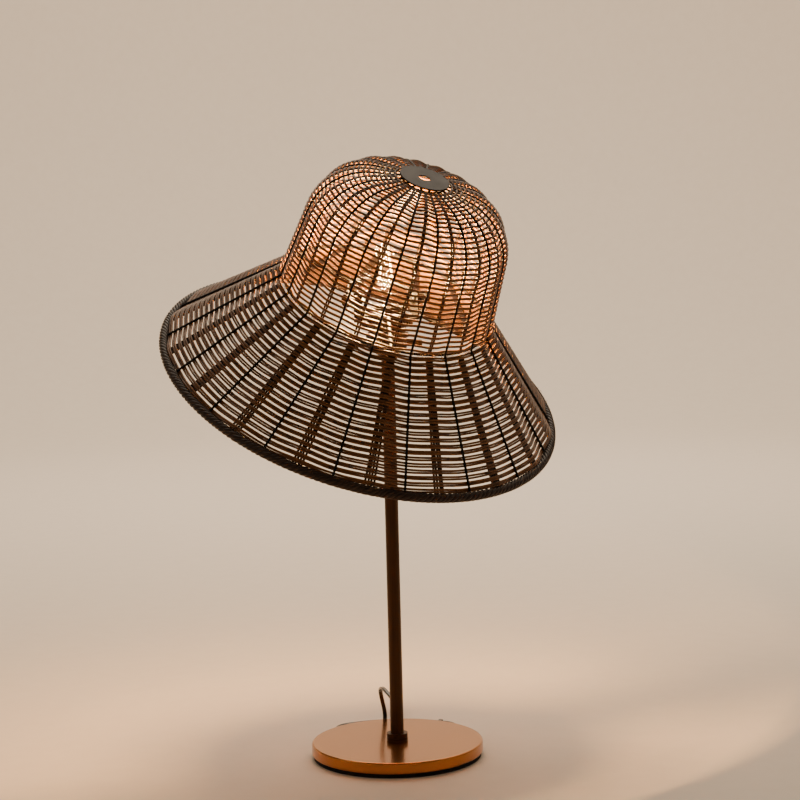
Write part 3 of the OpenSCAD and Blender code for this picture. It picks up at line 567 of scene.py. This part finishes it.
t, given = new_tree("twist_border", ("Strands", "Int"), ("Twists", "Int"), ("Strand Thickness", "Float"),
                    ("Rope Radius", "Float"), ("Rim Radius", "Float"), ("Rim Height", "Float"), ("Steps", "Int"),
                    ("Seed", "Int"))
roping = t
loose, strand, at, angle = hoop_strands(t, given["Strands"], given["Steps"])
own_turn = add(t, "ShaderNodeMath", {0: 2 * math.pi, 1: given["Strands"]}, operation="DIVIDE")
first_turn = add(t, "ShaderNodeMath", {0: strand, 1: own_turn}, operation="MULTIPLY")
lay = add(t, "ShaderNodeMath", {0: angle, 1: given["Twists"], 2: first_turn}, operation="MULTIPLY_ADD")
drift = add(t, "ShaderNodeTexNoise", {"Vector": at, "W": given["Seed"], "Scale": 9.0, "Detail": 1.0},
            noise_dimensions="4D")
uneven = add(t, "ShaderNodeMapRange", {"Value": drift.outputs["Fac"], "To Min": -1.2, "To Max": 1.2})
turned_by = add(t, "ShaderNodeMath", {0: lay, 1: uneven}, operation="ADD")
cosine = add(t, "ShaderNodeMath", {0: turned_by}, operation="COSINE")
sine = add(t, "ShaderNodeMath", {0: turned_by}, operation="SINE")
rope_x = add(t, "ShaderNodeMath", {0: cosine, 1: given["Rope Radius"], 2: given["Rim Radius"]},
             operation="MULTIPLY_ADD")
rope_z = add(t, "ShaderNodeMath", {0: sine, 1: given["Rope Radius"], 2: given["Rim Height"]},
             operation="MULTIPLY_ADD")
point = add(t, "ShaderNodeCombineXYZ", {"X": rope_x, "Z": rope_z})
end_strands(t, given["Seed"], strand, loose, point, angle, given["Strand Thickness"], 8, rattan_painted_shade)

woven("border_rim", [border_line, (0, 0)], roping, ["rim_border"], {
    "Strands": 5, "Twists": 46, "Strand Thickness": 4.3 * MM, "Rope Radius": 2.75 * MM,
    "Rim Radius": border_line[0] * MM, "Rim Height": border_line[1] * MM, "Steps": 720, "Seed": 3})

# ---- Frayed ends ----
# Cut ends and split fibres stand out where crown meets brim and round the border, each a few millimetres long.
# They are raw cane, paler than the dyed skin.
raw_cane = grained("raw_cane_fibre", ("#6B4522", "#B98C52"), (0.75, 0.6), 5, 0.02, 2.0, IOR=1.5,
                   Specular_IOR_Level=0.3)

t, given = new_tree("fray_ends", ("Count", "Int"), ("Ring Radius", "Float"), ("Ring Height", "Float"),
                    ("Length", "Float"), ("Thickness", "Float"), ("Seed", "Int"))
fraying = t
starts = add(t, "GeometryNodePoints", {"Count": given["Count"]})
number = add(t, "GeometryNodeInputIndex")
circle = add(t, "FunctionNodeRandomValue", {2: 0.0, 3: 2 * math.pi, "ID": number, "Seed": given["Seed"]})
rise_seed, turn_seed, long_seed = (add(t, "ShaderNodeMath", {0: given["Seed"], 1: more}, operation="ADD")
                                   for more in (1.0, 2.0, 3.0))
rise = add(t, "FunctionNodeRandomValue", {2: -2.2 * MM, 3: 2.2 * MM, "ID": number, "Seed": rise_seed})
height = add(t, "ShaderNodeMath", {0: rise.outputs[1], 1: given["Ring Height"]}, operation="ADD")
on_ring = add(t, "ShaderNodeCombineXYZ", {"X": given["Ring Radius"], "Z": height})
put = add(t, "ShaderNodeVectorRotate", {"Vector": on_ring, "Angle": circle.outputs[1]}, rotation_type="Z_AXIS")
spread_out = add(t, "GeometryNodeSetPosition", {"Geometry": starts, "Position": put})
hair = add(t, "GeometryNodeCurvePrimitiveLine", {"Start": (0, 0, 0), "End": (0, 0, 1)})
bendy = add(t, "GeometryNodeResampleCurve", {"Curve": hair, "Count": 5})
way = add(t, "FunctionNodeRandomValue", {0: (0.5, -0.7, -3.2), 1: (2.6, 0.7, 3.2), "ID": number, "Seed": turn_seed},
          data_type="FLOAT_VECTOR")
facing = add(t, "ShaderNodeCombineXYZ", {"Z": circle.outputs[1]})
heading = add(t, "ShaderNodeVectorMath", {0: way.outputs[0], 1: facing}, operation="ADD")
own_length = add(t, "FunctionNodeRandomValue", {2: 0.35, 3: 1.0, "ID": number, "Seed": long_seed})
length = add(t, "ShaderNodeMath", {0: own_length.outputs[1], 1: given["Length"]}, operation="MULTIPLY")
hairs = add(t, "GeometryNodeInstanceOnPoints", {"Points": spread_out, "Instance": bendy, "Rotation": heading,
                                                "Scale": length})
loose = add(t, "GeometryNodeRealizeInstances", {"Geometry": hairs})
at = add(t, "GeometryNodeInputPosition")
share = add(t, "GeometryNodeSplineParameter")
sway = add(t, "ShaderNodeTexNoise", {"Vector": at, "Scale": 160.0, "Detail": 0.0})
sway_mid = add(t, "ShaderNodeVectorMath", {0: sway.outputs["Color"], 1: (0.5, 0.5, 0.5)}, operation="SUBTRACT")
sway_far = add(t, "ShaderNodeMath", {0: share.outputs["Factor"], 1: 5 * MM}, operation="MULTIPLY")
sway_by = add(t, "ShaderNodeVectorMath", {0: sway_mid, "Scale": sway_far}, operation="SCALE")
curled = add(t, "GeometryNodeSetPosition", {"Geometry": loose, "Offset": sway_by})
tip = add(t, "ShaderNodeMapRange", {"Value": share.outputs["Factor"], "To Min": 1.0, "To Max": 0.35})
half = add(t, "ShaderNodeMath", {0: given["Thickness"], 1: 0.5}, operation="MULTIPLY")
taper = add(t, "ShaderNodeMath", {0: tip, 1: half}, operation="MULTIPLY")
section = add(t, "GeometryNodeCurvePrimitiveCircle", {"Resolution": 5, "Radius": 1.0})
tubes = add(t, "GeometryNodeCurveToMesh", {"Curve": curled, "Profile Curve": section, "Scale": taper,
                                           "Fill Caps": True})
end_tree(t, tubes, raw_cane)

# the frayed ends need no line: they stand round a ring
woven("frayed_neck", [(0, 0), (1, 0)], fraying, (), {
    "Count": 420, "Ring Radius": (neck_r + 0.4) * MM, "Ring Height": 0.6 * MM, "Length": 9 * MM,
    "Thickness": 0.5 * MM, "Seed": 41})
woven("frayed_rim", [(0, 0), (1, 0)], fraying, (), {
    "Count": 70, "Ring Radius": (border_line[0] + 0.5) * MM, "Ring Height": (border_line[1] + 3) * MM,
    "Length": 8 * MM, "Thickness": 0.5 * MM, "Seed": 57})

# ---- Bulb ----
# A clear G60 lamp bulb with four upright LED filaments on a glass stem, in a threaded nickel-plated cap.
# Blown soda-lime glass is thin and almost unseen but for its shine; the lit filaments glow warm white.
nickel = grained("nickel_plated_brass", ("#A8A49A", "#C8C5BC"), (0.18, 0.32), 5, 0.02, 3.0, Metallic=1.0)

low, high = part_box("bulb_cap")
cap_low, cap_high, cap_r = low[2] / MM, high[2] / MM, high[0] / MM
screw_pitch, screw_depth, cap_rows = 3.63, 0.42, 56
cap_outline = [(0, cap_low), (9.5, cap_low), (cap_r - 0.9, cap_low + 1.2)]
cap_outline += [(cap_r, cap_low + 1.4 + i * (cap_high - cap_low - 1.6) / cap_rows) for i in range(cap_rows + 1)]
cap_outline += [(cap_r - 0.6, cap_high), (cap_r - 1.4, cap_high - 0.5), (cap_r - 1.6, cap_low + 3), (0, cap_low + 2.6)]


def cap_thread(r, z, a):
    return r - screw_depth + screw_depth * math.cos(2 * math.pi * z / screw_pitch - a) if r == cap_r else r


cap_mesh = turned("bulb_screw_cap", cap_outline, 64, cap_thread, closed=False)
piece("bulb_screw_cap", cap_mesh, nickel, "stand", ["bulb_cap"])

# the glass is drawn as a thin see-through skin, so that the lamp's own light gets out
glass = grained("soda_lime_glass_blown", ("#050302", "#0A0704"), (0.02, 0.06), 20, 0.03, 1.0, IOR=1.5, Alpha=0.05,
                Specular_IOR_Level=0.8)
paint(glass, "bulb_glass", "bulb_stem")

# each filament is a row of tiny chips under a warm resin, so that its light comes in faint beads
filament, tree, shader, where = new_material("led_filament_lit", Roughness=0.6, Emission_Strength=10.0)
dots = add(tree, "ShaderNodeTexWave", {"Vector": where, "Scale": 1 / (6 * MM)},
           wave_type="BANDS", bands_direction="Z")
glow = add(tree, "ShaderNodeMix", {0: dots.outputs["Fac"], 6: linear("#FFB45A"), 7: linear("#FFD39A")},
           data_type="RGBA")
tree.links.new(glow.outputs[2], shader.inputs["Emission Color"])
shader.inputs["Base Color"].default_value = linear("#241A10")
paint(filament, "bulb_filaments")

# ---- Cord ----
# A flat twin flex, 4.8 by 2.8 mm: two stranded cores side by side in glossy dark brown PVC, with a groove between.
# It leaves the grommet, loops down behind the disc, and its spare length is folded into a tied hank on its edge.
pvc = grained("flex_pvc_extruded", ("#1A0F09", "#2C1A10"), (0.16, 0.28), 2.5, 0.04, 2.0, IOR=1.53, Coat_Weight=0.3,
              Coat_Roughness=0.1)
paint(pvc, "inner_flex", "inner_cores")

cord_w, cord_t = 4.8, 2.8
pole_r, cord_z, base_r = 7, 45, 90
relief_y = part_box("plug_relief")[0][1] / MM
cord_points = [(x, pole_r + y, cord_z + z) for x, y, z in (
    (0, 0, 0), (0, 5, 0.2), (0, 10, 1.2), (-2, 17, 4), (-5.5, 26, 8.5), (-10, 35, 12), (-13.5, 45, 13.5))]
cord_points += [(x, base_r + y, z) for x, y, z in (
    (-16, -28, 57), (-17, -19, 52), (-16.5, -11, 44.5), (-15.2, -4, 35.5), (-13.8, 2, 27), (-13, 8, 18),
    (-13.6, 14, 10.5), (-17, 18.7, 5.5), (-22.5, 20, 3), (-28, 17, 2.5), (-32.6, 12, 2.5), (-36.6, 7.4, 2.5),
    (-40.5, 4.8, 2.5))]
tail_points = [(x, relief_y + y, z) for x, y, z in (
    (-6, -14.4, 2.5), (-2.5, -12.4, 3.7), (-0.5, -9, 6), (0, -4.5, 9), (0, 0, 11))]
hank_half, fold_r, turn_pitch, hank_turns = 48, 8.4, 2.8, 5
hank_mid_r = base_r + 0.5 + fold_r + (hank_turns - 0.5) * turn_pitch
edge_z = cord_w / 2 + 0.05


def on_hank(along, aside):
    """A point of the hank: along its bent middle line from the centre, and aside from it, outwards."""
    a = along / hank_mid_r
    return (hank_mid_r + aside) * math.sin(a), (hank_mid_r + aside) * math.cos(a), edge_z


def hank_run(start, end, aside):
    """Points every 8 mm along a run of the hank."""
    count = int(abs(end - start) / 8)
    return [on_hank(start + (end - start) * i / count, aside) for i in range(1, count)]


def hank_fold(side, start, radius):
    """A half turn at the left (-1) or right (1) end, from one run to the next one out."""
    middle = start - side * radius
    return [on_hank(side * (hank_half + radius * math.sin(math.pi * i / 14)),
                    middle + side * radius * math.cos(math.pi * i / 14)) for i in range(15)]


# each lap is a fold, a run out and a fold round to the run back, one turn further out each time
hank_points = []
for lap in range(hank_turns):
    near = fold_r + lap * turn_pitch
    hank_points += hank_fold(-1, -near, near)
    if lap < hank_turns - 1:
        hank_points += hank_run(-hank_half, hank_half, near)
        hank_points += hank_fold(1, near, near + turn_pitch / 2)
        hank_points += hank_run(hank_half, -hank_half, -near - turn_pitch)
hank_points += hank_run(-hank_half, -8, near)


def smooth(points, spacing=2.5):
    """Points every few millimetres on one smooth curve through the given ones."""
    line = [Vector(p) for p in points]
    line = [2 * line[0] - line[1]] + line + [2 * line[-1] - line[-2]]
    made = []
    for a, b, c, d in zip(line, line[1:], line[2:], line[3:]):
        count = max(1, round((c - b).length / spacing))
        for i in range(count):
            f = i / count
            made.append(0.5 * (2 * b + (c - a) * f + (2 * a - 5 * b + 4 * c - d) * f**2
                               + (3 * b - 3 * c + d - a) * f**3))
    return made + [line[-2]]


route = smooth(cord_points + hank_points + tail_points)
travel = [0.0]
for a, b in zip(route, route[1:]):
    travel.append(travel[-1] + (b - a).length)
lies_from = next(d for d, p in zip(travel, route) if p.y > base_r and p.z < 12)
roll_length = 50
# the twin section: two lobes, with a groove where they meet
lobe = cord_t / 2
lobe_x = cord_w / 2 - lobe
lobe_sweep, lobe_steps = 256, 8
section = []
for centre_x, first in ((lobe_x, -128), (-lobe_x, 52)):
    for i in range(lobe_steps + 1):
        a = math.radians(first + lobe_sweep * i / lobe_steps)
        section.append((centre_x + lobe * math.cos(a), lobe * math.sin(a)))
flex_points = []
for i, p in enumerate(route):
    ahead = (route[min(i + 1, len(route) - 1)] - route[max(i - 1, 0)]).normalized()
    wide = ahead.cross(Vector((0, 0, 1))).normalized()
    high_way = wide.cross(ahead)
    # flat in the air, and turned on its edge over the first stretch on the floor
    roll = math.pi / 2 * min(1, max(0, (travel[i] - lies_from) / roll_length))
    for x, y in section:
        side_x = x * math.cos(roll) - y * math.sin(roll)
        side_y = x * math.sin(roll) + y * math.cos(roll)
        flex_points.append((p + wide * side_x + high_way * side_y) * MM)


def outward(mesh):
    """Merges doubles and turns the faces outwards."""
    shape = bmesh.new()
    shape.from_mesh(mesh)
    bmesh.ops.remove_doubles(shape, verts=shape.verts, dist=1e-6)
    bmesh.ops.recalc_face_normals(shape, faces=shape.faces)
    shape.to_mesh(mesh)
    shape.free()
    return mesh


def lofted(name, points, around):
    """A closed skin over rings of points, with so many points around each."""
    faces = []
    for start in range(0, len(points) - around, around):
        faces += [(start + k, start + (k + 1) % around, start + around + (k + 1) % around, start + around + k)
                  for k in range(around)]
    faces += [tuple(range(around))[::-1], tuple(range(len(points) - around, len(points)))]
    made = bpy.data.meshes.new(name)
    made.from_pydata(points, [], faces)
    return outward(made)


flex_mesh = lofted("flex_cord", flex_points, len(section))
flex = piece("flex_cord", flex_mesh, pvc, "stand", ["cord_run", "cord_hank", "cord_tail"], None, 70)

# ---- Plug and strain relief ----
# The plug is moulded on in soft black PVC: a ribbed taper that saves the cord's neck, and a rounded grip body.
# Two flat brass pins stand in its face.
low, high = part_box("plug_relief")
relief_start, relief_end, plug_z = low[1] / MM, high[1] / MM, (low[2] + high[2]) / 2 / MM
relief_outline = [(0, relief_start)]
tip_r, root_r, relief_ribs, rib_depth, rib_rows = 3.0, 4.8, 6, 0.45, 40
for i in range(rib_rows + 1):
    along = i / rib_rows
    ribbed = rib_depth * max(0, math.sin(2 * math.pi * along * relief_ribs)) if along < 0.9 else 0
    relief_outline.append((tip_r + (root_r - tip_r) * along - ribbed,
                           relief_start + (relief_end - relief_start) * along))
relief_outline.append((0, relief_end))
lay_down = Matrix.Translation((0, 0, plug_z * MM)) @ Matrix.Rotation(-math.pi / 2, 4, "X")
relief_mesh = turned("plug_strain_relief", relief_outline, 40, closed=False)
relief = piece("plug_strain_relief", relief_mesh, rubber, "stand", ["plug_relief"], lay_down)

low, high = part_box("plug_body")
plug_half_w, plug_half_h = high[0] / MM, (high[2] - low[2]) / 2 / MM
plug_start, plug_end = low[1] / MM, high[1] / MM
# each ring of the grip: how far along, and its width and height as shares of the full ones
grooves, groove_pitch, squareness = 5, 2.6, 0.55
loft = [(0, 0.62, 0.5), (0.6, 0.74, 0.62), (1.8, 0.86, 0.76), (4, 0.95, 0.9), (7, 1, 0.98)]
for groove in range(grooves):
    from_start = groove_pitch * groove
    loft += [(8.2 + from_start, 1, 1), (9.1 + from_start, 0.92, 0.97), (9.9 + from_start, 0.92, 0.97),
             (10.8 + from_start, 1, 1)]
loft += [(plug_end - plug_start - 1.2, 1, 1), (plug_end - plug_start - 0.3, 0.97, 0.98),
         (plug_end - plug_start, 0.9, 0.94)]
plug_points, around = [], 40
for along, wide, tall in loft:
    for k in range(around):
        a = 2 * math.pi * k / around
        c, s = math.cos(a), math.sin(a)
        plug_points.append((plug_half_w * wide * math.copysign(abs(c) ** squareness, c) * MM, (plug_start + along) * MM,
                            (plug_z + plug_half_h * tall * math.copysign(abs(s) ** squareness, s)) * MM))
plug_mesh = lofted("plug_grip", plug_points, around)
plug = piece("plug_grip", plug_mesh, rubber, "stand", ["plug_body"], None, 50)

# ---- Cable tie ----
# A nylon tie holds the folded hank: a thin strap with a square head on top.
# It is the same moulded nylon as the switch bar.
tie_angle, tie_half_w, tie_half_l, tie_top = math.radians(22), 21.35, 2.0, 5.35
corner, band_t, head_size = 1.2, 0.5, (6.2 * MM, 5.2 * MM, 2.6 * MM, 1)
loop_outer, loop_inner = [], []
for cx, cz, first in ((tie_half_w - corner, tie_top - corner, 0), (-tie_half_w + corner, tie_top - corner, 90),
                      (-tie_half_w + corner, corner, 180), (tie_half_w - corner, corner, 270)):
    for i in range(5):
        a = math.radians(first + 22.5 * i)
        loop_outer.append((cx + corner * math.cos(a), cz + corner * math.sin(a)))
        loop_inner.append((cx + (corner - band_t) * math.cos(a), cz + (corner - band_t) * math.sin(a)))
n = len(loop_outer)
tie_points = [(x * MM, y * MM, z * MM) for y in (-tie_half_l, tie_half_l) for x, z in loop_outer + loop_inner]
tie_faces = []
for k in range(n):
    j = (k + 1) % n
    tie_faces += [(k, j, 2 * n + j, 2 * n + k), (n + k, n + j, 3 * n + j, 3 * n + k), (k, j, n + j, n + k),
                  (2 * n + k, 2 * n + j, 3 * n + j, 3 * n + k)]
band = bpy.data.meshes.new("band")
band.from_pydata(tie_points, [], tie_faces)
head = bmesh.new()
bmesh.ops.create_cube(head, size=1, matrix=Matrix.Translation((0, 0, (tie_top + 0.9) * MM))
                      @ Matrix.Diagonal(head_size))
bmesh.ops.bevel(head, geom=head.edges[:], offset=0.5 * MM, segments=2, affect="EDGES")
head_mesh = bpy.data.meshes.new("head")
head.to_mesh(head_mesh)
head.free()
tie_place = Matrix.Rotation(math.pi / 2 - tie_angle, 4, "Z") @ Matrix.Translation((hank_mid_r * MM, 0, 0))
tie = piece("hank_tie", outward(joined("hank_tie", [band, head_mesh])), nylon, "stand", ["cord_tie"],
            tie_place)

# ---- Studio ----
# A pale seamless paper bowl is floor and backdrop from every side. It is lit by the bulb, by soft boxes above
# the floor, before the wall and at both sides, and by a low even sky.
paper, tree, shader, where = new_material("studio_paper", Roughness=0.9)
tooth = add(tree, "ShaderNodeTexNoise", {"Vector": where, "Scale": 40.0, "Detail": 2.0})
drive(tree, shader, ("#DDD2C4", "#E3D9CC"), tooth.outputs["Fac"], (0.85, 0.95))
floor_r, cove_r, wall_h = 3200, 1300, 3500
bowl_outline = [(0, 0), (floor_r, 0)]
for i in range(1, 11):
    a = math.radians(9 * i)
    bowl_outline.append((floor_r + cove_r * math.sin(a), cove_r - cove_r * math.cos(a)))
bowl_outline.append((floor_r + cove_r, wall_h))
bowl_mesh = turned("studio_bowl", bowl_outline, 96, closed=False)
bowl_mesh.materials.append(paper)
bowl_mesh.shade_smooth()
bowl_mesh.flip_normals()
bowl = bpy.data.objects.new("studio_bowl", bowl_mesh)
bpy.context.scene.collection.objects.link(bowl)


def lamp(name, kind, colour, power, place, aim=None, **settings):
    """A light, aimed at a point."""
    data = bpy.data.lights.new(name, kind)
    data.color, data.energy = linear(colour)[:3], power
    for setting, value in settings.items():
        setattr(data, setting, value)
    made = bpy.data.objects.new(name, data)
    made.location = place
    if aim:
        made.rotation_euler = (Vector(aim) - Vector(place)).to_track_quat("-Z", "Y").to_euler()
    bpy.context.scene.collection.objects.link(made)
    return made


bulb_centre = (0, 0, 0.515)
bulb_light = lamp("bulb_light", "POINT", "#FFC078", 34, bulb_centre, shadow_soft_size=0.012)
bulb_light.visible_camera = False
for name, colour, power, place, aim, size in (
        ("soft_box_floor", "#FFEAD0", 60, (0.2, 1.7, 2.6), (0, 0.7, 0.0), 2.4),
        ("soft_box_wall", "#FFECD4", 110, (0, 1.8, 3.2), (0, 4.5, 1.2), 2.2),
        ("soft_box_left", "#FFF1E0", 4, (-1.9, -0.4, 1.8), (0, 0, 0.3), 1.6),
        ("soft_box_right", "#FFF1E0", 2, (1.9, -0.2, 1.3), (0, 0, 0.35), 1.4)):
    lamp(name, "AREA", colour, power, place, aim, shape="SQUARE", size=size)
sky = bpy.data.worlds.new("soft_sky")
sky.use_nodes = True
sky.node_tree.nodes["Background"].inputs["Color"].default_value = linear("#F4E9DC")
sky.node_tree.nodes["Background"].inputs["Strength"].default_value = 0.12
bpy.context.scene.world = sky

# the camera stands two metres in front, 547 mm up, and looks down by 5 degrees
pitch, yaw, camera_roll = math.radians(5), math.radians(0.335), math.radians(-1.4)
forward = Vector((math.sin(yaw) * math.cos(pitch), math.cos(yaw) * math.cos(pitch), -math.sin(pitch)))
level = Vector((math.cos(yaw), -math.sin(yaw), 0))
upright = level.cross(forward)
right = math.cos(camera_roll) * level + math.sin(camera_roll) * upright
top = right.cross(forward)
camera_data = bpy.data.cameras.new("camera")
camera_data.sensor_width, camera_data.lens = 36, 85.8
camera = bpy.data.objects.new("camera", camera_data)
stand_point = Matrix.Translation((0, -1.968, 0.547))
camera.matrix_world = stand_point @ Matrix((right, top, -forward)).transposed().to_4x4()
bpy.context.scene.collection.objects.link(camera)
bpy.context.scene.camera = camera
